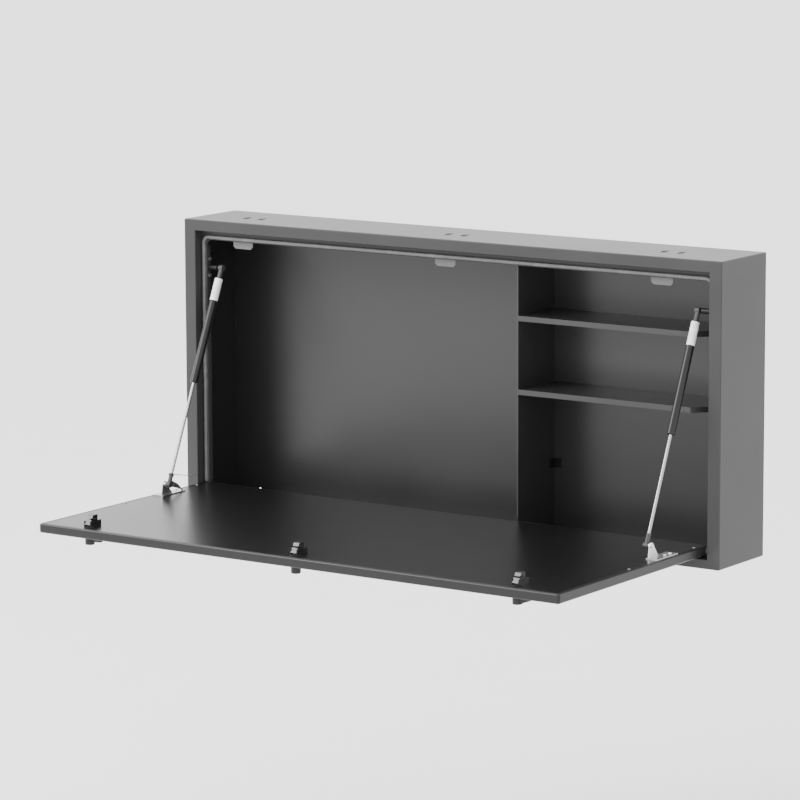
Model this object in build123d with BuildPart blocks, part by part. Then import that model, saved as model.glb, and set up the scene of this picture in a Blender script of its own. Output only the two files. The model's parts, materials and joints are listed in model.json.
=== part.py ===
from build123d import *
import os
from math import atan2, cos, degrees, hypot, pi, radians, sin

# Wall-hung fold-down desk cabinet, shown with its door open as a table.
# Millimetres. X runs along the width, Y into the wall, Z up. The origin is the centre
# of the wall fixings, on the back face. The door is modelled open, lying level.

# ---- driving dimensions ---------------------------------------------------------
WIDTH = 1200.0
HEIGHT = 560.0
DEPTH = 160.0
SHEET = 2.0  # case sheet
PANEL_SHEET = 1.5  # back panel, divider and shelves
CORNER_R = 2.5
EDGE_R = 1.9

STILE = 26.0
TOP_RAIL = 22.0
BOTTOM_RAIL = 18.0
RECESS = 24.0  # depth of the pocket that takes the closed door
SIDE_FLANGE = 11.0
TOP_FLANGE = 19.0
BOTTOM_FLANGE = 11.0
WINDOW_R = 12.0
FLANGE_RETURN = 8.0

FIXING_X = 1080.0
FIXING_Z = 544.0
FIXING_R = 2.75

DIVIDER_X = 148.0
INNER_SETBACK = 33.0  # front edges of divider and shelves, behind the front face
SHELF_LEVELS = {"lower": 286.0, "upper": 424.0}  # top faces, above the case bottom
SHELF_LIP = 10.0
SHELF_CUT_X = 518.0  # where the 45 degree front corner starts

DOOR_THICK = 17.5
DOOR_GAP = 3.5
DOOR_SKIN = 1.5
DOOR_EDGE_IN = 3.0
DOOR_EDGE_OUT = 3.5
DOOR_CORNER_R = 5.0
HEM = 4.5
GROOVE = 1.6
PIVOT_HEIGHT = 33.0  # pivot above the case bottom
PIVOT_EDGE = 11.0  # pivot above the closed door's lower edge
PIVOT_R = 4.0
PIVOT_PLAY = 0.05

LATCH_X = (-470.0, 0.0, 470.0)
LATCH_NAMES = ("left", "middle", "right")
LATCH_INSET = 26.0  # latch centre, in from the door's free edge
SLOT_SPACING = 35.0
SLOT_SETBACK = 70.0
KNOB_R = 9.0
KNOB_LENGTH = 15.5
KNOB_WINGS = {"left": (9.4, 8.6), "middle": None, "right": (14.0, 7.0)}  # depth at root and tip
CATCH_SHIFT = -12.0  # catch centres, to the left of the latches
CATCH_WIDTH = 46.0
CATCH_LOW = 504.5  # lower edge of the catch plates, above the case bottom
CATCH_SETBACK = 32.0
CATCH_SHEET = 1.5
TONGUE_TRAVEL = 7.07
CAM_R = 5.0

STRUT_X = 534.0
STRUT_TOP_SETBACK = 31.0
STRUT_TOP_HEIGHT = 464.0
STUD_ALONG = 153.0  # lower stud from the door pivot, along the door
STUD_OVER = 31.0  # lower stud over the door pivot
TUBE_R = 7.5
TUBE_TOP = 20.0
TUBE_END = 232.0
ROD_R = 3.0
BALL_R = 4.0

# ---- derived places ---------------------------------------------------------------
FRONT = -DEPTH
TOP = HEIGHT / 2
BOTTOM = -HEIGHT / 2
OPENING_X = WIDTH / 2 - STILE
OPENING_TOP = TOP - TOP_RAIL
OPENING_BOTTOM = BOTTOM + BOTTOM_RAIL
OPENING_MID = (OPENING_TOP + OPENING_BOTTOM) / 2
OPENING_HEIGHT = OPENING_TOP - OPENING_BOTTOM
WINDOW_X = OPENING_X - SIDE_FLANGE
WINDOW_TOP = OPENING_TOP - TOP_FLANGE
WINDOW_BOTTOM = OPENING_BOTTOM + BOTTOM_FLANGE
PIVOT_Y = FRONT + DOOR_THICK / 2
PIVOT_Z = BOTTOM + PIVOT_HEIGHT
DOOR_X = OPENING_X - DOOR_GAP
DOOR_TOP = PIVOT_Z + DOOR_THICK / 2
DOOR_UNDER = PIVOT_Z - DOOR_THICK / 2
DOOR_HINGE_END = PIVOT_Y + PIVOT_EDGE
DOOR_FREE_END = PIVOT_Y - (OPENING_TOP - DOOR_GAP - PIVOT_Z)
DOOR_MID_Y = (DOOR_HINGE_END + DOOR_FREE_END) / 2
DOOR_LENGTH = DOOR_HINGE_END - DOOR_FREE_END
LATCH_Y = DOOR_FREE_END + LATCH_INSET
STRUT_TOP_Y = FRONT + STRUT_TOP_SETBACK
STRUT_TOP_Z = BOTTOM + STRUT_TOP_HEIGHT
STUD_Y = PIVOT_Y - STUD_ALONG
STUD_Z = PIVOT_Z + STUD_OVER
STRUT_OPEN = hypot(STUD_Y - STRUT_TOP_Y, STUD_Z - STRUT_TOP_Z)
SIDES = (("left", -1), ("right", 1))

os.makedirs("parts", exist_ok=True)


# ---- helpers --------------------------------------------------------------------
def facing(setback):
    """Plane facing the room, the given distance behind the front face."""
    return Plane.XZ.offset(DEPTH - setback)


def block(x, y, z, mode=Mode.ADD):
    """Add or cut a rectangular block between (low, high) limits on each axis."""
    with Locations(((x[0] + x[1]) / 2, (y[0] + y[1]) / 2, (z[0] + z[1]) / 2)):
        Box(abs(x[1] - x[0]), abs(y[1] - y[0]), abs(z[1] - z[0]), mode=mode)


def rod_x(y, z, radius, x, mode=Mode.ADD):
    """Add or cut a round bar along X."""
    with Locations(((x[0] + x[1]) / 2, y, z)):
        Cylinder(radius, abs(x[1] - x[0]), rotation=(0, 90, 0), mode=mode)


def rod_z(x, y, radius, z, mode=Mode.ADD):
    """Add or cut a round bar along Z."""
    with Locations((x, y, (z[0] + z[1]) / 2)):
        Cylinder(radius, abs(z[1] - z[0]), mode=mode)


def hex_z(x, y, across, z, mode=Mode.ADD):
    """Add or cut a hexagonal prism along Z."""
    with BuildSketch(Plane.XY.offset(min(z))) as outline:
        with Locations((x, y)):
            RegularPolygon(across / 2, 6, major_radius=False)
    extrude(outline.sketch, amount=abs(z[1] - z[0]), mode=mode)


def save(name, builder):
    """Label a finished piece and write it out."""
    builder.part.label = name
    export_step(builder.part, f"parts/{name}.step")


# ---- case -----------------------------------------------------------------------
def make_case_wrap():
    """Top, bottom and side walls, with the adjusting slots over each catch."""
    with BuildPart() as wrap:
        with BuildSketch(Plane.XZ):
            RectangleRounded(WIDTH, HEIGHT, CORNER_R)
            Rectangle(WIDTH - 2 * SHEET, HEIGHT - 2 * SHEET, mode=Mode.SUBTRACT)
        extrude(amount=DEPTH - SHEET)
        with BuildSketch(Plane.XY.offset(TOP)):
            for x in LATCH_X:
                with Locations((x + CATCH_SHIFT, FRONT + SLOT_SETBACK)):
                    with GridLocations(SLOT_SPACING, 0, 2, 1):
                        SlotOverall(28, 6.5, rotation=90)
        extrude(amount=-2 * SHEET, mode=Mode.SUBTRACT)
    save("case_wrap", wrap)


def make_front_frame():
    """Stiles and rails, the pocket for the door and the flange that carries the seal."""
    with BuildPart() as frame:
        with BuildSketch(facing(0)):
            RectangleRounded(WIDTH, HEIGHT, CORNER_R)
            with Locations((0, OPENING_MID)):
                Rectangle(2 * OPENING_X, OPENING_HEIGHT, mode=Mode.SUBTRACT)
        extrude(amount=-SHEET)
        with BuildSketch(facing(0)):
            with Locations((0, OPENING_MID)):
                Rectangle(2 * (OPENING_X + SHEET), OPENING_HEIGHT + 2 * SHEET)
                Rectangle(2 * OPENING_X, OPENING_HEIGHT, mode=Mode.SUBTRACT)
        extrude(amount=-(RECESS + SHEET))
        with BuildSketch(facing(RECESS)):
            with Locations((0, OPENING_MID)):
                Rectangle(2 * OPENING_X, OPENING_HEIGHT)
            with Locations((0, (WINDOW_TOP + WINDOW_BOTTOM) / 2)):
                RectangleRounded(
                    2 * WINDOW_X, WINDOW_TOP - WINDOW_BOTTOM, WINDOW_R, mode=Mode.SUBTRACT
                )
        extrude(amount=-SHEET)
        back = FRONT + RECESS + SHEET
        for _, side in SIDES:
            block(
                (side * WINDOW_X, side * (WINDOW_X + PANEL_SHEET)),
                (back, back + FLANGE_RETURN),
                (WINDOW_BOTTOM + WINDOW_R, WINDOW_TOP - WINDOW_R),
            )
            through = (side * (WINDOW_X - 1), side * (WINDOW_X + 3))
            rod_x(STRUT_TOP_Y, STRUT_TOP_Z, 3.2, through, Mode.SUBTRACT)
            rod_x(PIVOT_Y, PIVOT_Z, PIVOT_R, (side * (OPENING_X - 1), side * (OPENING_X + 4)), Mode.SUBTRACT)
            for offset in (-16, 16):
                rod_x(STRUT_TOP_Y, STRUT_TOP_Z + offset, 2.0, through, Mode.SUBTRACT)
        fillet(frame.edges().filter_by_position(Axis.Y, FRONT, FRONT), EDGE_R)
    save("front_frame", frame)


def make_back_panel():
    """Flat back sheet with the four wall fixing holes."""
    with BuildPart() as back:
        with BuildSketch(Plane.XZ):
            Rectangle(WIDTH - 2 * SHEET, HEIGHT - 2 * SHEET)
            with GridLocations(FIXING_X, FIXING_Z, 2, 2):
                Circle(FIXING_R, mode=Mode.SUBTRACT)
        extrude(amount=PANEL_SHEET)
    save("back_panel", back)


def make_door_seal():
    """Bulb seal round the flange, thinned along the foot where the door's heel swings."""
    width = 7.0
    stand_off = 6.2
    margin = 2.0
    heel_clear = 2.2
    low = OPENING_BOTTOM + margin
    high = WINDOW_TOP + margin + width
    outer_x = OPENING_X - margin
    with BuildPart() as seal:
        with BuildSketch(facing(RECESS)):
            with Locations((0, (low + high) / 2)):
                RectangleRounded(2 * outer_x, high - low, 16)
                RectangleRounded(2 * (outer_x - width), high - low - 2 * width, 9, mode=Mode.SUBTRACT)
        extrude(amount=stand_off)
        crown = FRONT + RECESS - stand_off
        fillet(seal.edges().filter_by_position(Axis.Y, crown, crown), 2.5)
        block(
            (-outer_x - 1, outer_x + 1),
            (FRONT, FRONT + RECESS - heel_clear),
            (BOTTOM, PIVOT_Z + 10),
            Mode.SUBTRACT,
        )
    save("door_seal", seal)


def make_divider():
    """Upright divider with a hemmed front edge and fixing flanges on its left."""
    back = -PANEL_SHEET
    low = BOTTOM + SHEET
    high = TOP - SHEET
    front = FRONT + INNER_SETBACK
    flange = 12.0
    with BuildPart() as divider:
        block((DIVIDER_X, DIVIDER_X + PANEL_SHEET), (front, back), (low, high))
        block((DIVIDER_X - PANEL_SHEET, DIVIDER_X), (front, front + 8), (low + 2, high - 2))
        block((DIVIDER_X - flange, DIVIDER_X), (back - PANEL_SHEET, back), (low, high))
        block((DIVIDER_X - flange, DIVIDER_X), (front + 10, back), (low, low + PANEL_SHEET))
        block((DIVIDER_X - flange, DIVIDER_X), (front + 10, back), (high - PANEL_SHEET, high))
        for level in SHELF_LEVELS.values():
            for setback in (70, 120):
                rod_x(
                    FRONT + setback, BOTTOM + level - 5, 2.0,
                    (DIVIDER_X - 1, DIVIDER_X + 3), Mode.SUBTRACT,
                )
    save("divider", divider)


def make_divider_clip():
    """Small angle that ties the divider to the back panel."""
    x = DIVIDER_X + PANEL_SHEET
    y = -PANEL_SHEET
    z = BOTTOM + 130
    with BuildPart() as clip:
        block((x, x + 1.5), (y - 16, y), (z - 9, z + 9))
        block((x, x + 16), (y - 1.5, y), (z - 9, z + 9))
        for offset in (-4.5, 4.5):
            with Locations((x + 9, y - 2, z + offset)):
                Cylinder(2.6, 1.4, rotation=(90, 0, 0))
    save("divider_clip", clip)


def make_shelf(name, level):
    """Shelf pan with a lip all round and its front right corner cut back at 45 degrees."""
    left = DIVIDER_X + PANEL_SHEET
    right = WIDTH / 2 - SHEET
    front = FRONT + INNER_SETBACK
    back = -PANEL_SHEET
    top = BOTTOM + level
    with BuildPart() as shelf:
        with BuildSketch(Plane.XY.offset(top)) as outline:
            with BuildLine():
                Polyline(
                    (left, front),
                    (SHELF_CUT_X, front),
                    (right, front + right - SHELF_CUT_X),
                    (right, back),
                    (left, back),
                    close=True,
                )
            make_face()
        extrude(amount=-SHELF_LIP)
        with BuildSketch(Plane.XY.offset(top - PANEL_SHEET)):
            add(outline.sketch)
            offset(amount=-PANEL_SHEET, kind=Kind.INTERSECTION)
        extrude(amount=-SHELF_LIP, mode=Mode.SUBTRACT)
        for setback in (70, 120):
            rod_x(FRONT + setback, top - 5, 2.0, (left - 1, left + 3), Mode.SUBTRACT)
    save(f"shelf_{name}", shelf)


def make_shelf_rivets():
    """Blind rivets that hold both shelves to the divider."""
    with BuildPart() as rivets:
        for level in SHELF_LEVELS.values():
            for setback in (70, 120):
                y = FRONT + setback
                z = BOTTOM + level - 5
                rod_x(y, z, 2.0, (DIVIDER_X - 0.5, DIVIDER_X + 4))
                rod_x(y, z, 4.0, (DIVIDER_X - 1.5, DIVIDER_X))
                rod_x(y, z, 3.0, (DIVIDER_X + 2 * PANEL_SHEET, DIVIDER_X + 2 * PANEL_SHEET + 2.5))
    save("shelf_rivets", rivets)


# ---- catches --------------------------------------------------------------------
def make_catch_plate(name, x):
    """Angle that hangs from the top wall and gives the latch something to hook."""
    setback = FRONT + CATCH_SETBACK
    half = CATCH_WIDTH / 2
    low = BOTTOM + CATCH_LOW
    high = TOP - SHEET
    cut = 5.0
    with BuildPart() as plate:
        with BuildSketch(facing(CATCH_SETBACK)):
            with BuildLine():
                Polyline(
                    (x - half, high),
                    (x - half, low + cut),
                    (x - half + cut, low),
                    (x + half - cut, low),
                    (x + half, low + cut),
                    (x + half, high),
                    close=True,
                )
            make_face()
        extrude(amount=-CATCH_SHEET)
        block((x - half, x + half), (setback, FRONT + SLOT_SETBACK + 19), (high - CATCH_SHEET, high))
        for offset in (-SLOT_SPACING / 2, SLOT_SPACING / 2):
            rod_z(x + offset, FRONT + SLOT_SETBACK, 2.75, (high - 3, high + 1), Mode.SUBTRACT)
    save(f"catch_plate_{name}", plate)


def make_catch_fasteners():
    """Button-head screws through the slots in the top wall, and their nuts."""
    seat = TOP
    under = TOP - SHEET - CATCH_SHEET
    y = FRONT + SLOT_SETBACK
    with BuildPart() as screws:
        for latch_x in LATCH_X:
            for offset in (-SLOT_SPACING / 2, SLOT_SPACING / 2):
                x = latch_x + CATCH_SHIFT + offset
                rod_z(x, y, 2.5, (under - 6, seat + 0.5))
                rod_z(x, y, 4.6, (seat, seat + 1.6))
        rims = screws.edges().filter_by(GeomType.CIRCLE)
        fillet(rims.filter_by_position(Axis.Z, seat + 1.5, seat + 1.7), 0.9)
        for latch_x in LATCH_X:
            for offset in (-SLOT_SPACING / 2, SLOT_SPACING / 2):
                hex_z(latch_x + CATCH_SHIFT + offset, y, 3.0, (seat + 0.4, seat + 2), Mode.SUBTRACT)
    save("catch_screws", screws)
    with BuildPart() as nuts:
        for latch_x in LATCH_X:
            for offset in (-SLOT_SPACING / 2, SLOT_SPACING / 2):
                x = latch_x + CATCH_SHIFT + offset
                hex_z(x, y, 8.0, (under - 4, under))
                rod_z(x, y, 2.5, (under - 5, under + 1), Mode.SUBTRACT)
    save("catch_nuts", nuts)


# ---- door -----------------------------------------------------------------------
def door_plan(inset, radius, mode=Mode.ADD):
    """Door outline seen from above, moved in from every edge by inset."""
    with Locations((0, DOOR_MID_Y)):
        RectangleRounded(2 * (DOOR_X - inset), DOOR_LENGTH - 2 * inset, radius, mode=mode)


def edge_screw_places():
    """Screws near the side edges of the desk face: two on each side of the door."""
    return [(side * (DOOR_X - 10.5), FRONT - run) for _, side in SIDES for run in (21.0, 246.0)]


def bracket_screw_places(side):
    """Two screws through the foot of a strut bracket."""
    return [(side * 555.0, PIVOT_Y - run) for run in (106.0, 124.0)]


def drill_screws(depth):
    """Cut clearance for every screw that enters the desk face."""
    for x, y in edge_screw_places():
        rod_z(x, y, 1.6, (DOOR_TOP - depth, DOOR_TOP + 1), Mode.SUBTRACT)
    for _, side in SIDES:
        for x, y in bracket_screw_places(side):
            rod_z(x, y, 2.1, (DOOR_TOP - depth, DOOR_TOP + 1), Mode.SUBTRACT)


def make_door_skin():
    """Outer tray of the door: painted face, rolled edges and the hem that frames the inside."""
    with BuildPart() as skin:
        with BuildSketch(Plane.XY.offset(DOOR_UNDER)):
            door_plan(0, DOOR_CORNER_R)
        extrude(amount=DOOR_THICK)
        fillet(skin.faces().sort_by(Axis.Z)[0].edges(), DOOR_EDGE_OUT)
        fillet(skin.faces().sort_by(Axis.Z)[-1].edges(), DOOR_EDGE_IN)
        with BuildSketch(Plane.XY.offset(DOOR_UNDER + DOOR_SKIN)):
            door_plan(DOOR_SKIN, DOOR_CORNER_R - DOOR_SKIN)
        extrude(amount=DOOR_THICK - 2 * DOOR_SKIN, mode=Mode.SUBTRACT)
        with BuildSketch(Plane.XY.offset(DOOR_TOP - DOOR_SKIN)):
            door_plan(HEM, 2)
        extrude(amount=DOOR_SKIN, mode=Mode.SUBTRACT)
        for _, side in SIDES:
            rod_x(PIVOT_Y, PIVOT_Z, 5.6, (side * (DOOR_X - 4), side * (DOOR_X + 1)), Mode.SUBTRACT)
        for x in LATCH_X:
            rod_z(x, LATCH_Y, 8.0, (DOOR_UNDER - 1, DOOR_UNDER + 3), Mode.SUBTRACT)
    save("door_skin", skin)


def make_door_panel():
    """Inner face of the door, which is the desk top, with a turned-down rim."""
    inset = HEM + GROOVE
    rim = 8.0
    with BuildPart() as panel:
        with BuildSketch(Plane.XY.offset(DOOR_TOP)):
            door_plan(inset, 2)
        extrude(amount=-rim)
        fillet(panel.faces().sort_by(Axis.Z)[-1].edges(), 0.8)
        with BuildSketch(Plane.XY.offset(DOOR_TOP - DOOR_SKIN)):
            door_plan(inset + DOOR_SKIN, 1)
        extrude(amount=-rim, mode=Mode.SUBTRACT)
        for x in LATCH_X:
            rod_z(x, LATCH_Y, 8.0, (DOOR_TOP - 3, DOOR_TOP + 1), Mode.SUBTRACT)
        for _, side in SIDES:
            rod_x(PIVOT_Y, PIVOT_Z, 6.4, (side * (DOOR_X - 18), side * DOOR_X), Mode.SUBTRACT)
        drill_screws(3)
    save("door_panel", panel)


def make_door_core():
    """Stiff board between the two skins, drilled for the latches and the pivot bushes."""
    with BuildPart() as core:
        with BuildSketch(Plane.XY.offset(DOOR_UNDER + DOOR_SKIN)):
            door_plan(HEM + GROOVE + DOOR_SKIN + 0.5, 1)
            with Locations(*[(x, LATCH_Y) for x in LATCH_X]):
                Circle(8.5, mode=Mode.SUBTRACT)
        extrude(amount=DOOR_THICK - 2 * DOOR_SKIN)
        for _, side in SIDES:
            rod_x(PIVOT_Y, PIVOT_Z, 6.4, (side * (DOOR_X - 18), side * DOOR_X), Mode.SUBTRACT)
        drill_screws(8)
    save("door_core", core)


def make_pivots():
    """Fixed pivot pins in the frame, and the flanged bushes they carry in the door."""
    with BuildPart() as pins:
        for _, side in SIDES:
            rod_x(PIVOT_Y, PIVOT_Z, PIVOT_R, (side * (DOOR_X - 12), side * (OPENING_X + SHEET + 5)))
            rod_x(PIVOT_Y, PIVOT_Z, 6.5, (side * (OPENING_X + SHEET), side * (OPENING_X + SHEET + 3)))
            rod_x(PIVOT_Y, PIVOT_Z, 7.0, (side * (OPENING_X - 1.2), side * OPENING_X))
    save("pivot_pins", pins)
    with BuildPart() as bushes:
        for _, side in SIDES:
            rod_x(PIVOT_Y, PIVOT_Z, 5.6, (side * (DOOR_X - 14), side * DOOR_X))
            rod_x(PIVOT_Y, PIVOT_Z, 8.0, (side * DOOR_X, side * (DOOR_X + 1)))
            rod_x(
                PIVOT_Y, PIVOT_Z, PIVOT_R + PIVOT_PLAY,
                (side * (DOOR_X - 15), side * (DOOR_X + 2)), Mode.SUBTRACT,
            )
    save("pivot_bushes", bushes)


def make_door_screws():
    """Small pan-head screws along the hem."""
    with BuildPart() as screws:
        for x, y in edge_screw_places():
            rod_z(x, y, 1.6, (DOOR_TOP - 7, DOOR_TOP + 0.5))
            rod_z(x, y, 2.8, (DOOR_TOP, DOOR_TOP + 1.3))
        fillet(screws.edges().filter_by_position(Axis.Z, DOOR_TOP + 1.2, DOOR_TOP + 1.4), 0.7)
    save("door_edge_screws", screws)


# ---- latches --------------------------------------------------------------------
# Heights are above the desk face. The tongue points to the free edge, -Y.
SLIDE_LOW = 5.2
SLIDE_HIGH = 13.6
HOOK_LOW = 16.5
HOOK_HIGH = 22.0
TONGUE_HALF = 6.0
CAM_LOW = 2.8
CAM_HIGH = 4.9


def make_latch_housing(name, x):
    """Threaded sleeve through the door with a flange and the channel that guides the tongue."""
    y = LATCH_Y
    z = DOOR_TOP
    with BuildPart() as housing:
        rod_z(x, y, 8.0, (DOOR_UNDER - 1.5, z))
        rod_z(x, y, 11.0, (z, z + 2.5))
        block((x - 8, x + 8), (y - 7, y + 24), (z, z + 2.5))
        for side in (-1, 1):
            block((x + side * 6.3, x + side * 8), (y - 7, y + 24), (z + 2.5, z + 11.5))
        rod_z(x, y, PIVOT_R + PIVOT_PLAY, (DOOR_UNDER - 2, z + 3), Mode.SUBTRACT)
    save(f"latch_housing_{name}", housing)


def make_latch_nut(name, x):
    """Ring nut that clamps the latch from the door's outer face."""
    with BuildPart() as nut:
        rod_z(x, LATCH_Y, 10.0, (DOOR_UNDER - 1.5, DOOR_UNDER))
        rod_z(x, LATCH_Y, 8.0, (DOOR_UNDER - 3, DOOR_UNDER + 1), Mode.SUBTRACT)
    save(f"latch_nut_{name}", nut)


def make_latch_knob(name, x, wing):
    """Round knob outside the door, on the shaft that carries the cam."""
    y = LATCH_Y
    under = DOOR_UNDER - 1.8
    foot = DOOR_UNDER - KNOB_LENGTH
    with BuildPart() as knob:
        rod_z(x, y, KNOB_R, (foot, under))
        fillet(knob.edges().filter_by_position(Axis.Z, foot, foot), 1.8)
        if wing:
            root, tip = wing
            with BuildSketch(Plane.XZ.offset(-y)):
                with BuildLine():
                    Polyline(
                        (x + 4, under),
                        (x + 27, under),
                        (x + 27, DOOR_UNDER - tip),
                        (x + 8, DOOR_UNDER - root),
                        (x + 4, DOOR_UNDER - root),
                        close=True,
                    )
                make_face()
            extrude(amount=4, both=True)
        rod_z(x, y, PIVOT_R, (under, DOOR_TOP + CAM_LOW))
    save(f"latch_knob_{name}", knob)


def make_latch_cam(name, x):
    """Cam disc on the end of the shaft, with the pin that drives the tongue."""
    y = LATCH_Y
    z = DOOR_TOP
    pin_x = x + CAM_R * cos(radians(45))
    pin_y = y - CAM_R * sin(radians(45))
    with BuildPart() as cam:
        rod_z(x, y, 6.0, (z + CAM_LOW, z + CAM_HIGH))
        rod_z(pin_x, pin_y, 0.8, (z + CAM_HIGH - 0.5, z + CAM_HIGH + 4))
    save(f"latch_cam_{name}", cam)


def make_latch_tongue(name, x):
    """C-shaped tongue: a slide in the channel, a riser, and a hook with a slanted nose."""
    y = LATCH_Y
    base = DOOR_TOP
    slot_y = y - CAM_R * sin(radians(45))
    with BuildPart() as tongue:
        with BuildSketch(Plane.YZ.offset(x)):
            with BuildLine():
                Polyline(
                    (y - 8, base + SLIDE_LOW),
                    (y - 2.5, base + SLIDE_HIGH),
                    (y + 9, base + SLIDE_HIGH),
                    (y + 9, base + HOOK_LOW),
                    (y - 0.6, base + HOOK_LOW),
                    (y + 3, base + HOOK_HIGH),
                    (y + 16, base + HOOK_HIGH),
                    (y + 16, base + SLIDE_LOW),
                    close=True,
                )
            make_face()
        extrude(amount=TONGUE_HALF, both=True)
        fillet(tongue.edges().filter_by(Axis.X).sort_by(Axis.Z)[-2:], 0.8)
        block(
            (x + 1.5, x + TONGUE_HALF + 1),
            (slot_y - 1.5, slot_y + 1.5),
            (base + SLIDE_LOW - 1, base + SLIDE_LOW + 4.2),
            Mode.SUBTRACT,
        )
    save(f"latch_tongue_{name}", tongue)


# ---- gas struts -----------------------------------------------------------------
def strut_plane(side, along=0.0):
    """Plane across a strut, the given distance down from its upper pivot."""
    run = (0, (STUD_Y - STRUT_TOP_Y) / STRUT_OPEN, (STUD_Z - STRUT_TOP_Z) / STRUT_OPEN)
    top = Plane(origin=(side * STRUT_X, STRUT_TOP_Y, STRUT_TOP_Z), x_dir=(1, 0, 0), z_dir=run)
    return top.offset(along)


def strut_bar(side, radius, along, mode=Mode.ADD):
    """Add or cut a round bar on the strut's own axis."""
    with BuildSketch(strut_plane(side, along[0])) as outline:
        Circle(radius)
    extrude(outline.sketch, amount=along[1] - along[0], mode=mode)


def make_strut_anchor(name, side):
    """Bracket behind the flange that carries the strut's upper ball stud."""
    inner = side * (WINDOW_X + PANEL_SHEET)
    plate = side * (WINDOW_X + PANEL_SHEET + 2)
    wall = side * (WIDTH / 2 - SHEET)
    front = FRONT + RECESS + SHEET
    z = (STRUT_TOP_Z - 24, STRUT_TOP_Z + 24)
    with BuildPart() as anchor:
        block((inner, plate), (front, front + 30), z)
        block((plate, wall), (front + 28, front + 30), z)
        block((wall - side * 2, wall), (front + 30, front + 50), z)
        rod_x(STRUT_TOP_Y, STRUT_TOP_Z, 3.0, (inner - side, plate + side), Mode.SUBTRACT)
        for offset in (-16, 16):
            rod_x(STRUT_TOP_Y, STRUT_TOP_Z + offset, 2.0, (inner - side, plate + side), Mode.SUBTRACT)
    save(f"strut_anchor_{name}", anchor)


def make_anchor_screws():
    """Screws that hold both anchors to the flange."""
    with BuildPart() as screws:
        for _, side in SIDES:
            head = side * WINDOW_X
            for offset in (-16, 16):
                z = STRUT_TOP_Z + offset
                rod_x(STRUT_TOP_Y, z, 2.0, (head - side, head + side * 9))
                rod_x(STRUT_TOP_Y, z, 4.0, (head - side * 2.2, head))
                rod_x(STRUT_TOP_Y, z, 3.5, (head + side * 3.5, head + side * 6.5))
    save("anchor_screws", screws)


def make_upper_stud(name, side):
    """Ball stud at the top of a strut, with its collar and lock nut."""
    inner = side * (WINDOW_X + PANEL_SHEET)
    plate = side * (WINDOW_X + PANEL_SHEET + 2)
    with BuildPart() as stud:
        with Locations((side * STRUT_X, STRUT_TOP_Y, STRUT_TOP_Z)):
            Sphere(BALL_R, rotation=(0, 0, 90))
        rod_x(STRUT_TOP_Y, STRUT_TOP_Z, 2.4, (side * STRUT_X, side * (STRUT_X + 10)))
        rod_x(STRUT_TOP_Y, STRUT_TOP_Z, 5.0, (side * (STRUT_X + 9), side * WINDOW_X))
        rod_x(STRUT_TOP_Y, STRUT_TOP_Z, 3.0, (side * (WINDOW_X - 1), plate + side * 7))
        rod_x(STRUT_TOP_Y, STRUT_TOP_Z, 5.0, (plate, plate + side * 4))
    save(f"strut_upper_stud_{name}", stud)


def make_strut_tube(name, side):
    """Pressure tube: closed at the top, with the rod guide rolled into its lower end."""
    bore = TUBE_R - 1.2
    with BuildPart() as tube:
        strut_bar(side, TUBE_R, (TUBE_TOP, TUBE_END))
        ends = tube.edges().filter_by(GeomType.CIRCLE)
        fillet(ends, 1.4)
        strut_bar(side, bore, (TUBE_TOP + 3, TUBE_END - 10), Mode.SUBTRACT)
        strut_bar(side, ROD_R + PIVOT_PLAY, (TUBE_END - 11, TUBE_END + 1), Mode.SUBTRACT)
    save(f"strut_tube_{name}", tube)


def make_strut_label(name, side):
    """Plain wrap at the top of the tube."""
    with BuildPart() as label:
        strut_bar(side, TUBE_R + 0.25, (TUBE_TOP + 2, TUBE_TOP + 46))
        strut_bar(side, TUBE_R, (TUBE_TOP, TUBE_TOP + 48), Mode.SUBTRACT)
    save(f"strut_label_{name}", label)


def make_upper_socket(name, side):
    """Socket that snaps over the upper ball stud."""
    cup = (side * (STRUT_X - 4.6), side * (STRUT_X + 4.4))
    with BuildPart() as socket:
        rod_x(STRUT_TOP_Y, STRUT_TOP_Z, 6.0, cup)
        strut_bar(side, 4.5, (2, TUBE_TOP))
        with Locations((side * STRUT_X, STRUT_TOP_Y, STRUT_TOP_Z)):
            Sphere(BALL_R + PIVOT_PLAY, rotation=(0, 0, 90), mode=Mode.SUBTRACT)
        rod_x(STRUT_TOP_Y, STRUT_TOP_Z, 3.1, (side * STRUT_X, side * (STRUT_X + 6)), Mode.SUBTRACT)
    save(f"strut_upper_socket_{name}", socket)


def make_strut_rod(name, side):
    """Polished rod, drawn out to the end of its stroke."""
    with BuildPart() as rod:
        strut_bar(side, ROD_R, (TUBE_END - 18, STRUT_OPEN - 22))
    save(f"strut_rod_{name}", rod)


def make_strut_piston(name, side):
    """Piston on the inner end of the rod."""
    with BuildPart() as piston:
        strut_bar(side, TUBE_R - 1.3, (TUBE_END - 24, TUBE_END - 18))
    save(f"strut_piston_{name}", piston)


def make_lower_socket(name, side):
    """Socket on the rod's outer end, beside the stud on the door."""
    with BuildPart() as socket:
        strut_bar(side, 4.1, (STRUT_OPEN - 22, STRUT_OPEN))
        rod_x(STUD_Y, STUD_Z, 5.6, (side * (STRUT_X - 4.4), side * (STRUT_X + 4.4)))
    save(f"strut_lower_socket_{name}", socket)


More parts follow.
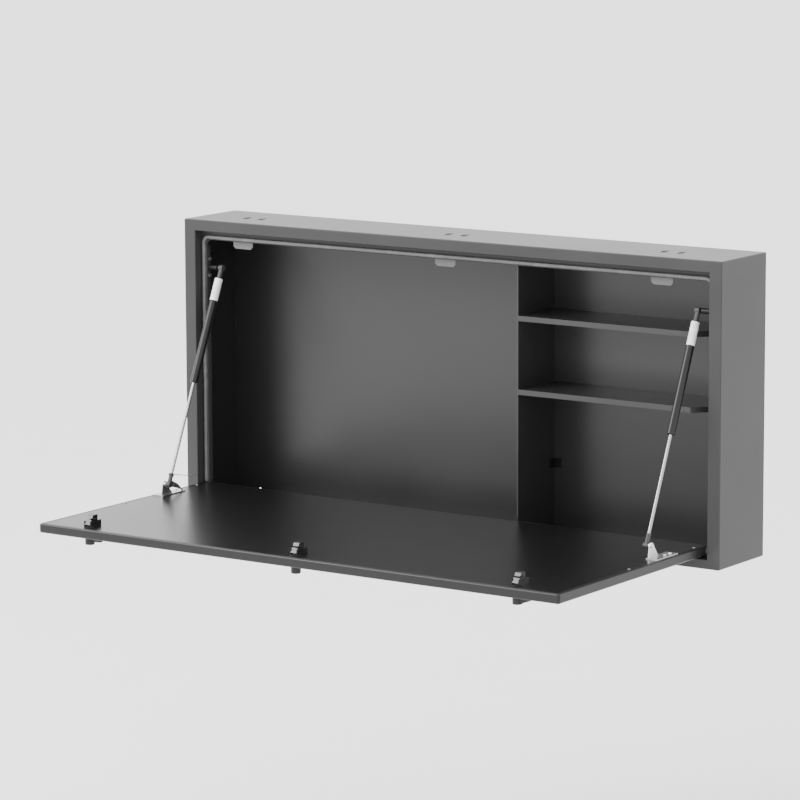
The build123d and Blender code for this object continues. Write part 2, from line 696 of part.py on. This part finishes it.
def make_lower_bracket(name, side):
    """Bracket on the door's edge: a foot with two screws and the ear for the stud."""
    ear = (side * (STRUT_X + 9.5), side * (STRUT_X + 11.5))
    foot = (side * (STRUT_X + 6), side * 564.4)
    foot_front = PIVOT_Y - 164
    foot_back = PIVOT_Y - 94
    base = DOOR_TOP
    with BuildPart() as bracket:
        block(foot, (foot_front, foot_back), (base, base + 2))
        with BuildSketch(Plane.YZ.offset(ear[0])):
            with BuildLine():
                Polyline(
                    (foot_front, base + 1),
                    (STUD_Y - 7, STUD_Z + 1),
                    (STUD_Y - 3, STUD_Z + 6),
                    (STUD_Y + 3, STUD_Z + 6),
                    (STUD_Y + 7, STUD_Z),
                    (foot_front + 34, base + 1),
                    close=True,
                )
            make_face()
            if side < 0:
                with BuildLine():
                    Polyline(
                        (STUD_Y + 1, STUD_Z + 4),
                        (STUD_Y + 22, STUD_Z + 4),
                        (STUD_Y + 40, STUD_Z - 5),
                        (foot_back - 1, base + 1),
                        (foot_back - 8, base + 1),
                        (foot_back - 10, base + 5.5),
                        (STUD_Y + 24, STUD_Z - 9),
                        (STUD_Y + 1, STUD_Z - 7),
                        close=True,
                    )
                make_face()
        extrude(amount=side * 2.0)
        rod_x(STUD_Y, STUD_Z, 2.5, (ear[0] - side, ear[1] + side), Mode.SUBTRACT)
        for x, y in bracket_screw_places(side):
            rod_z(x, y, 2.1, (base - 1, base + 3), Mode.SUBTRACT)
    save(f"strut_lower_bracket_{name}", bracket)


def make_lower_stud(name, side):
    """Stud in the ear. It stops just clear of the socket, where the linkage is opened."""
    with BuildPart() as stud:
        rod_x(STUD_Y, STUD_Z, 2.5, (side * (STRUT_X + 5.2), side * (STRUT_X + 12)))
        rod_x(STUD_Y, STUD_Z, 4.5, (side * (STRUT_X + 6.2), side * (STRUT_X + 9.5)))
        rod_x(STUD_Y, STUD_Z, 4.2, (side * (STRUT_X + 11.5), side * (STRUT_X + 13.5)))
    save(f"strut_lower_stud_{name}", stud)


def make_bracket_screws():
    """Pan-head screws through the feet of both lower brackets."""
    seat = DOOR_TOP + 2
    with BuildPart() as screws:
        for _, side in SIDES:
            for x, y in bracket_screw_places(side):
                rod_z(x, y, 2.1, (DOOR_TOP - 8, seat + 0.5))
                rod_z(x, y, 3.2, (seat, seat + 2.4))
        fillet(screws.edges().filter_by_position(Axis.Z, seat + 2.3, seat + 2.5), 1.2)
    save("bracket_screws", screws)


def make_safety_clip():
    """Wire clip on the left strut's lower socket, with its long tail."""
    at = strut_plane(-1, STRUT_OPEN - 20)
    wire = 0.7
    with BuildPart() as clip:
        with BuildSketch(at.offset(-wire)):
            Circle(5.8)
            Circle(4.4, mode=Mode.SUBTRACT)
        extrude(amount=2 * wire)
        start = at.origin + Vector(5.0, 0, 0)
        with BuildSketch(Plane(origin=start, z_dir=(0.9, 0.44, 0.05))):
            Circle(wire)
        extrude(amount=42)
    save("strut_safety_clip", clip)


make_case_wrap()
make_front_frame()
make_back_panel()
make_door_seal()
make_divider()
make_divider_clip()
for shelf_name, shelf_level in SHELF_LEVELS.items():
    make_shelf(shelf_name, shelf_level)
make_shelf_rivets()
make_catch_fasteners()
make_door_skin()
make_door_panel()
make_door_core()
make_pivots()
make_door_screws()
for latch_name, latch_x in zip(LATCH_NAMES, LATCH_X):
    make_catch_plate(latch_name, latch_x + CATCH_SHIFT)
    make_latch_housing(latch_name, latch_x)
    make_latch_nut(latch_name, latch_x)
    make_latch_knob(latch_name, latch_x, KNOB_WINGS[latch_name])
    make_latch_cam(latch_name, latch_x)
    make_latch_tongue(latch_name, latch_x)
make_anchor_screws()
make_bracket_screws()
make_safety_clip()
for side_name, side_sign in SIDES:
    make_strut_anchor(side_name, side_sign)
    make_upper_stud(side_name, side_sign)
    make_strut_tube(side_name, side_sign)
    make_strut_label(side_name, side_sign)
    make_upper_socket(side_name, side_sign)
    make_strut_rod(side_name, side_sign)
    make_strut_piston(side_name, side_sign)
    make_lower_socket(side_name, side_sign)
    make_lower_bracket(side_name, side_sign)
    make_lower_stud(side_name, side_sign)
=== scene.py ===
import json
import math

import bmesh
import bpy
from mathutils import Matrix, Vector


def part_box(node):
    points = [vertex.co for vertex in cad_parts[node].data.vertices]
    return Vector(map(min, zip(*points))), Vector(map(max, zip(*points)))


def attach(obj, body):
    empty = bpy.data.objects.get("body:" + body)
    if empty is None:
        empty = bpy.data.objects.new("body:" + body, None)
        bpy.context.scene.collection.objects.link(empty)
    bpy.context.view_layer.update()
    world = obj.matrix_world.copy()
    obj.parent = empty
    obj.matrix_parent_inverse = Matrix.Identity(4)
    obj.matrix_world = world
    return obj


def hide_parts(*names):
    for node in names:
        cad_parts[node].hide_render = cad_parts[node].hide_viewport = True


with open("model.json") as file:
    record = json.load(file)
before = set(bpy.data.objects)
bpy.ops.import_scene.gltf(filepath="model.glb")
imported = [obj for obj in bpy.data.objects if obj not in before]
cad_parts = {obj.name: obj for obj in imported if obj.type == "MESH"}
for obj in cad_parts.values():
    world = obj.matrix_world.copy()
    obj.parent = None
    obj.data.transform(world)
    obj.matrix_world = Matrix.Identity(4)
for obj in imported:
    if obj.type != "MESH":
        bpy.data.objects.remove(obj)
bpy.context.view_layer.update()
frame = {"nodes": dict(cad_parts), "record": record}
nodes = frame["nodes"]


# ---- materials ------------------------------------------------------------------
def new_material(name):
    """Node material whose textures follow the piece's own coordinates."""
    mat = bpy.data.materials.new(name)
    mat.use_nodes = True
    tree = mat.node_tree
    shader = next(n for n in tree.nodes if n.type == "BSDF_PRINCIPLED")
    coords = tree.nodes.new("ShaderNodeTexCoord").outputs["Object"]
    return mat, tree, shader, coords


def noise(tree, coords, scale, detail=4.0, stretch=(1, 1, 1)):
    """Noise with scale features in a metre, drawn out along the small axes of stretch."""
    mapping = tree.nodes.new("ShaderNodeMapping")
    mapping.inputs["Scale"].default_value = stretch
    tree.links.new(coords, mapping.inputs["Vector"])
    tex = tree.nodes.new("ShaderNodeTexNoise")
    tex.inputs["Scale"].default_value = scale
    tex.inputs["Detail"].default_value = detail
    tree.links.new(mapping.outputs["Vector"], tex.inputs["Vector"])
    return tex.outputs["Fac"]


def spread(tree, value, low, high, start=0.2, end=0.8):
    """Map start..end of a value smoothly on to low..high."""
    node = tree.nodes.new("ShaderNodeMapRange")
    node.interpolation_type = "SMOOTHSTEP"
    node.inputs["From Min"].default_value = start
    node.inputs["From Max"].default_value = end
    node.inputs["To Min"].default_value = low
    node.inputs["To Max"].default_value = high
    tree.links.new(value, node.inputs["Value"])
    return node.outputs["Result"]


def mix_colour(tree, factor, a, b):
    """Mix two colours, each a tuple or a socket."""
    node = tree.nodes.new("ShaderNodeMix")
    node.data_type = "RGBA"
    tree.links.new(factor, node.inputs["Factor"])
    for socket, colour in (("A", a), ("B", b)):
        target = [s for s in node.inputs if s.name == socket and s.type == "RGBA"][0]
        if isinstance(colour, tuple):
            target.default_value = (*colour, 1)
        else:
            tree.links.new(colour, target)
    return [s for s in node.outputs if s.type == "RGBA"][0]


def bump(tree, shader, height, distance):
    """Raise the surface by up to distance metres."""
    node = tree.nodes.new("ShaderNodeBump")
    node.inputs["Distance"].default_value = distance
    tree.links.new(height, node.inputs["Height"])
    tree.links.new(node.outputs["Normal"], shader.inputs["Normal"])


def paint(name, colour, rough, grain, depth, gloss=0.5, vary=0.12):
    """Painted sheet: fine orange peel, with slow changes of tone and sheen."""
    mat, tree, shader, coords = new_material(name)
    slow = noise(tree, coords, 6.0, 2.0)
    fine = noise(tree, coords, grain, 3.0)
    dull = tuple(c * (1 - vary) for c in colour)
    bright = tuple(c * (1 + vary) for c in colour)
    shade = mix_colour(tree, spread(tree, slow, 0, 1), dull, bright)
    peak = tuple(c * (1 + 2.5 * vary) for c in colour)
    tone = mix_colour(tree, spread(tree, fine, 0, 0.5), shade, peak)
    tree.links.new(tone, shader.inputs["Base Color"])
    tree.links.new(spread(tree, slow, rough - 0.015, rough + 0.015), shader.inputs["Roughness"])
    shader.inputs["Specular IOR Level"].default_value = gloss
    bump(tree, shader, fine, depth)
    return mat


def metal(name, colour, rough, stretch, depth):
    """Bare or plated metal with drawn lines and dull patches."""
    mat, tree, shader, coords = new_material(name)
    lines = noise(tree, coords, 900.0, 3.0, stretch)
    broad = noise(tree, coords, 40.0, 4.0)
    tone = mix_colour(tree, spread(tree, broad, 0, 1), colour, tuple(c * 0.78 for c in colour))
    tree.links.new(tone, shader.inputs["Base Color"])
    shader.inputs["Metallic"].default_value = 1.0
    tree.links.new(spread(tree, lines, rough - 0.06, rough + 0.10), shader.inputs["Roughness"])
    bump(tree, shader, lines, depth)
    return mat


def moulded(name, colour, rough, grain, depth, gloss=0.5):
    """Moulded plastic or rubber with a grained skin and scuffs."""
    mat, tree, shader, coords = new_material(name)
    fine = noise(tree, coords, grain, 3.0)
    scuff = noise(tree, coords, 60.0, 6.0)
    scuffed = tuple(c * 1.5 + 0.004 for c in colour)
    tone = mix_colour(tree, spread(tree, scuff, 0, 1, 0.45, 0.75), colour, scuffed)
    tree.links.new(tone, shader.inputs["Base Color"])
    tree.links.new(spread(tree, scuff, rough - 0.05, rough + 0.1), shader.inputs["Roughness"])
    shader.inputs["Specular IOR Level"].default_value = gloss
    bump(tree, shader, fine, depth)
    return mat


def board(name):
    """Bare edge and face of a wood-fibre board."""
    mat, tree, shader, coords = new_material(name)
    fibre = noise(tree, coords, 260.0, 6.0, (1, 0.25, 1))
    tone = mix_colour(tree, spread(tree, fibre, 0, 1), (0.30, 0.21, 0.13), (0.46, 0.36, 0.24))
    tree.links.new(tone, shader.inputs["Base Color"])
    tree.links.new(spread(tree, fibre, 0.7, 0.9), shader.inputs["Roughness"])
    bump(tree, shader, fibre, 0.0002)
    return mat


case_paint = paint("case_paint", (0.030, 0.030, 0.031), 0.38, 1400.0, 0.000004, 0.2)
inner_paint = paint("inner_paint", (0.013, 0.013, 0.0133), 0.32, 1400.0, 0.000003)
desk_paint = paint("desk_paint", (0.004, 0.004, 0.004), 0.305, 260.0, 0.0000005, 0.3)
rubber = moulded("rubber", (0.085, 0.085, 0.085), 0.6, 900.0, 0.00004)
black_plastic = moulded("black_plastic", (0.006, 0.006, 0.006), 0.42, 1600.0, 0.00001, 0.3)
grey_plastic = moulded("grey_plastic", (0.032, 0.032, 0.034), 0.5, 1600.0, 0.00003, 0.35)
bush_plastic = moulded("bush_plastic", (0.02, 0.02, 0.02), 0.5, 1500.0, 0.00001)
latch_steel = metal("latch_steel", (0.075, 0.075, 0.077), 0.42, (0.1, 1, 1), 0.000005)
wire_steel = metal("wire_steel", (0.10, 0.10, 0.10), 0.40, (0.2, 1, 1), 0.000003)
label_film = moulded("label_film", (0.62, 0.62, 0.62), 0.4, 700.0, 0.00001)
zinc = metal("zinc", (0.62, 0.62, 0.63), 0.34, (1, 1, 0.2), 0.00001)
dark_steel = metal("dark_steel", (0.34, 0.34, 0.35), 0.38, (0.1, 1, 1), 0.00001)
chrome = metal("chrome", (0.30, 0.30, 0.31), 0.24, (1, 0.2, 0.2), 0.000004)
edge_paint = paint("edge_paint", (0.006, 0.006, 0.006), 0.34, 700.0, 0.000002, 0.3)
tube_paint = paint("tube_paint", (0.006, 0.006, 0.0063), 0.31, 500.0, 0.000003, 0.25)
anchor_paint = paint("anchor_paint", (0.006, 0.006, 0.0063), 0.42, 900.0, 0.00001, 0.2)
catch_paint = paint("catch_paint", (0.085, 0.085, 0.086), 0.4, 900.0, 0.000004, 0.4)
core_board = board("core_board")


def painted_shade_inside(mat, colour, limits):
    """Paint shade on the case's inner faces as a darker base colour, found by distance from the
    centre.
    """
    tree = mat.node_tree
    shader = next(n for n in tree.nodes if n.type == "BSDF_PRINCIPLED")
    outside = shader.inputs["Base Color"].links[0].from_socket
    coords = tree.nodes.new("ShaderNodeTexCoord").outputs["Object"]
    split = tree.nodes.new("ShaderNodeSeparateXYZ")
    tree.links.new(coords, split.inputs["Vector"])
    tests = []
    for axis, limit in zip(("X", "Z"), limits):
        size = tree.nodes.new("ShaderNodeMath")
        size.operation = "ABSOLUTE"
        tree.links.new(split.outputs[axis], size.inputs[0])
        test = tree.nodes.new("ShaderNodeMath")
        test.operation = "LESS_THAN"
        test.inputs[1].default_value = limit
        tree.links.new(size.outputs[0], test.inputs[0])
        tests.append(test.outputs[0])
    # Mask of the case's inner faces, where the darker colour is painted shade.
    painted_shade_mask = tree.nodes.new("ShaderNodeMath")
    painted_shade_mask.operation = "MULTIPLY"
    tree.links.new(tests[0], painted_shade_mask.inputs[0])
    tree.links.new(tests[1], painted_shade_mask.inputs[1])
    tree.links.new(mix_colour(tree, painted_shade_mask.outputs[0], outside, colour), shader.inputs["Base Color"])


case_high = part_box("case_wrap")[1]
half_sheet = 0.001
# Case wrap paint: plain paint outside, with painted shade (darker colour 0.012) on its inner faces.
wrap_paint_with_painted_shade = paint("wrap_paint_with_painted_shade", (0.030, 0.030, 0.031), 0.38, 1400.0, 0.000004, 0.2)
painted_shade_inside(wrap_paint_with_painted_shade, (0.012, 0.012, 0.012), (case_high.x - half_sheet, case_high.z - half_sheet))

SLOT_LOOK = {
    "paint_dark": case_paint,
    "seal_rubber": rubber,
    "core_board": core_board,
    "bush_plastic": bush_plastic,
    "strut_black": tube_paint,
    "label_white": label_film,
    "rod_chrome": chrome,
    "socket_grey": grey_plastic,
    "latch_black": black_plastic,
    "latch_steel": latch_steel,
    "zinc_steel": zinc,
}
NODE_LOOK = {
    "back_panel": inner_paint,
    "divider": inner_paint,
    "shelf_upper": inner_paint,
    "shelf_lower": inner_paint,
    "door_panel": desk_paint,
    "door_skin": edge_paint,
    "divider_clip": anchor_paint,
    "strut_anchor_left": anchor_paint,
    "strut_anchor_right": anchor_paint,
    "anchor_screws": dark_steel,
    "strut_upper_stud_left": anchor_paint,
    "strut_upper_stud_right": anchor_paint,
    "pivot_pins": dark_steel,
    "catch_plate_left": catch_paint,
    "catch_plate_middle": catch_paint,
    "catch_plate_right": catch_paint,
    "catch_screws": wire_steel,
    "catch_nuts": dark_steel,
    # The case wrap's paint carries painted shade on its inner faces.
    "case_wrap": wrap_paint_with_painted_shade,
    "shelf_rivets": dark_steel,
}
for part in frame["record"]["subparts"]:
    piece = nodes[part["node"]]
    piece.data.materials.clear()
    piece.data.materials.append(NODE_LOOK.get(part["node"], SLOT_LOOK[part["material_slot"]]))


def solid_from(name, mesh_bm, material, body):
    """Turn a bmesh into a piece that rides on a CAD body, with the given material."""
    mesh = bpy.data.meshes.new(name)
    mesh_bm.to_mesh(mesh)
    mesh_bm.free()
    piece = bpy.data.objects.new(name, mesh)
    bpy.context.scene.collection.objects.link(piece)
    mesh.materials.append(material)
    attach(piece, body)
    return piece


def turned(bm, profile, place, axis, sides=40):
    """Revolve (radius, height) pairs about an axis through place."""
    turn = Vector((0, 0, 1)).rotation_difference(Vector(axis)).to_matrix().to_4x4()
    shift = Matrix.Translation(place) @ turn
    rings = []
    for radius, height in profile:
        ring = []
        for step in range(sides):
            angle = 2 * math.pi * step / sides
            point = Vector((radius * math.cos(angle), radius * math.sin(angle), height))
            ring.append(bm.verts.new(shift @ point))
        rings.append(ring)
    for lower, upper in zip(rings, rings[1:]):
        for step in range(sides):
            after = (step + 1) % sides
            face = bm.faces.new((lower[step], lower[after], upper[after], upper[step]))
            face.smooth = True
    bm.faces.new(list(reversed(rings[0])))
    bm.faces.new(rings[-1])


def cross_cut(piece, places, axis, across, depth):
    """Cut a cross recess into screw heads with a boolean."""
    bm = bmesh.new()
    turn = Vector((0, 0, 1)).rotation_difference(Vector(axis)).to_matrix().to_4x4()
    for place in places:
        for size in ((across, across * 0.24), (across * 0.24, across)):
            scale = Matrix.Diagonal((size[0], size[1], 2 * depth, 1))
            bmesh.ops.create_cube(bm, size=1, matrix=Matrix.Translation(place) @ turn @ scale)
    mesh = bpy.data.meshes.new("cross_cutter")
    bm.to_mesh(mesh)
    bm.free()
    cutter = bpy.data.objects.new("cross_cutter", mesh)
    bpy.context.scene.collection.objects.link(cutter)
    cut = piece.modifiers.new("cross", "BOOLEAN")
    cut.object = cutter
    cut.solver = "EXACT"
    cut.use_self = True
    bpy.context.view_layer.update()
    graph = bpy.context.evaluated_depsgraph_get()
    done = bpy.data.meshes.new_from_object(piece.evaluated_get(graph))
    piece.modifiers.clear()
    piece.data = done
    bpy.data.objects.remove(cutter)


def screw_group(name, node, body, seats, axis, head, height, shank, length, material):
    """Pan-head screws with cross recesses in place of a plain CAD group."""
    bm = bmesh.new()
    profile = [
        (shank, -length), (shank, 0.0), (head, 0.0), (head, height * 0.35),
        (head * 0.93, height * 0.68), (head * 0.76, height * 0.90), (head * 0.5, height),
    ]
    for seat in seats:
        turned(bm, profile, seat, axis)
    piece = solid_from(name, bm, material, body)
    tops = [Vector(seat) + Vector(axis) * height for seat in seats]
    cross_cut(piece, tops, axis, head * 1.05, height * 0.55)
    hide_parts(node)


def corners(node, inset, height):
    """Four seats, set in by a head's radius from the corners of a CAD group's box."""
    low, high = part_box(node)
    return [
        (x, y, height)
        for x in (low.x + inset, high.x - inset)
        for y in (low.y + inset, high.y - inset)
    ]


EDGE_HEAD = 0.0028
EDGE_HEAD_HEIGHT = 0.0013
BRACKET_HEAD = 0.0032
BRACKET_HEAD_HEIGHT = 0.0024
panel_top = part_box("door_panel")[1].z
bracket_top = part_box("bracket_screws")[1].z - BRACKET_HEAD_HEIGHT
screw_group(
    "edge_screw_heads", "door_edge_screws", "door", corners("door_edge_screws", EDGE_HEAD, panel_top),
    (0, 0, 1), head=EDGE_HEAD, height=EDGE_HEAD_HEIGHT, shank=0.0016, length=0.007,
    material=dark_steel,
)
screw_group(
    "bracket_screw_heads", "bracket_screws", "door",
    corners("bracket_screws", BRACKET_HEAD, bracket_top),
    (0, 0, 1), head=BRACKET_HEAD, height=BRACKET_HEAD_HEIGHT, shank=0.0021, length=0.009,
    material=zinc,
)


def wire(bm, points, radius, sides=8):
    """Sweep a round wire through points."""
    places = [Vector(p) for p in points]
    rings = []
    across = Vector((1, 0, 0))
    for index, place in enumerate(places):
        ahead = places[min(index + 1, len(places) - 1)] - places[max(index - 1, 0)]
        ahead.normalize()
        across = (across - ahead * across.dot(ahead)).normalized()
        other = ahead.cross(across)
        ring = []
        for step in range(sides):
            angle = 2 * math.pi * step / sides
            offset = radius * (math.cos(angle) * across + math.sin(angle) * other)
            ring.append(bm.verts.new(place + offset))
        rings.append(ring)
    for lower, upper in zip(rings, rings[1:]):
        for step in range(sides):
            after = (step + 1) % sides
            face = bm.faces.new((lower[step], lower[after], upper[after], upper[step]))
            face.smooth = True
    bm.faces.new(list(reversed(rings[0])))
    bm.faces.new(rings[-1])


def middle(node):
    """Centre of a CAD node's box."""
    low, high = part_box(node)
    return (Vector(low) + Vector(high)) / 2


# Safety clip: two turns of wire round the socket, and a tail that sags a little.
CLIP_R = 0.0051
WIRE_R = 0.0007
CLIP_PITCH = 0.0036
TAIL_SAG = 0.0016
TURN_STEPS = 48
TAIL_STEPS = 16
clip_low, clip_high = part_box("strut_safety_clip")
socket_centre = middle("strut_lower_socket_left")
pull = middle("strut_upper_stud_left") - middle("strut_lower_stud_left")
pull.x = 0.0
pull.normalize()
sideways = Vector((1, 0, 0))
facing = pull.cross(sideways)
clip_base = Vector((clip_low.x + CLIP_R + WIRE_R, socket_centre.y, socket_centre.z))
clip_base += pull * ((clip_low.z + clip_high.z) / 2 - socket_centre.z) / pull.z
clip_path = []
for step in range(TURN_STEPS + 1):
    angle = 4 * math.pi * step / TURN_STEPS
    around = math.cos(angle) * sideways + math.sin(angle) * facing
    clip_path.append(clip_base + CLIP_R * around + pull * (step / TURN_STEPS - 0.5) * CLIP_PITCH)
tail_start = clip_path[-1]
tail_end = Vector((clip_high.x - WIRE_R, clip_high.y - 0.0015, clip_high.z - 0.0012))
for step in range(1, TAIL_STEPS + 1):
    share = step / TAIL_STEPS
    sag = Vector((0, 0, math.sin(math.pi * share) * TAIL_SAG))
    clip_path.append(tail_start.lerp(tail_end, share) - sag)
clip_bm = bmesh.new()
wire(clip_bm, clip_path, WIRE_R)
clip_piece = solid_from(
    "safety_clip_wire", clip_bm, wire_steel, "strut_rod_left"
)
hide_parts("strut_safety_clip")

# ---- stage, light, camera ---------------------------------------------------------
FLOOR_Z = -0.95
WORLD_STRENGTH = 3.0
LIGHT_PLACE = Vector((-3.0, -3.5, 3.0))
LIGHT_TARGET = Vector((0, -0.1, 0))
LIGHT_SIDE = 2.5
LIGHT_WATTS = 350
CAMERA_PLACE = Vector((4.1450, -6.3345, 1.2097))
CAMERA_YAW = 0.6016
CAMERA_PITCH = 0.1642
CAMERA_ROLL = -0.0039
LENS_MM = 181.5
SENSOR_MM = 36.0

bpy.ops.mesh.primitive_plane_add(size=60, location=(0, 0, FLOOR_Z))
floor = bpy.context.object
floor.name = "floor"
floor.data.materials.append(
    paint("floor_paint", (0.80, 0.80, 0.80), 0.8, 40.0, 0.00001, gloss=0.3, vary=0.01)
)

world = bpy.data.worlds.new("studio")
bpy.context.scene.world = world
world.use_nodes = True
background = next(n for n in world.node_tree.nodes if n.type == "BACKGROUND")
background.inputs["Color"].default_value = (1, 1, 1, 1)
background.inputs["Strength"].default_value = WORLD_STRENGTH

light_data = bpy.data.lights.new("front_light", "AREA")
light_data.shape = "RECTANGLE"
light_data.size = LIGHT_SIDE
light_data.size_y = LIGHT_SIDE
light_data.energy = LIGHT_WATTS
light = bpy.data.objects.new("front_light", light_data)
bpy.context.scene.collection.objects.link(light)
light.location = LIGHT_PLACE
light.rotation_euler = (LIGHT_TARGET - LIGHT_PLACE).to_track_quat("-Z", "Y").to_euler()

forward = Vector((
    -math.sin(CAMERA_YAW) * math.cos(CAMERA_PITCH),
    math.cos(CAMERA_YAW) * math.cos(CAMERA_PITCH),
    -math.sin(CAMERA_PITCH),
))
right = forward.cross(Vector((0, 0, 1))).normalized()
up = right.cross(forward)
right_rolled = math.cos(CAMERA_ROLL) * right + math.sin(CAMERA_ROLL) * up
up_rolled = -math.sin(CAMERA_ROLL) * right + math.cos(CAMERA_ROLL) * up
camera_data = bpy.data.cameras.new("camera")
camera_data.lens = LENS_MM
camera_data.sensor_width = SENSOR_MM
camera_data.dof.use_dof = False
camera = bpy.data.objects.new("camera", camera_data)
bpy.context.scene.collection.objects.link(camera)
turn = Matrix((right_rolled, up_rolled, -forward)).transposed().to_4x4()
camera.matrix_world = Matrix.Translation(CAMERA_PLACE) @ turn
bpy.context.scene.camera = camera
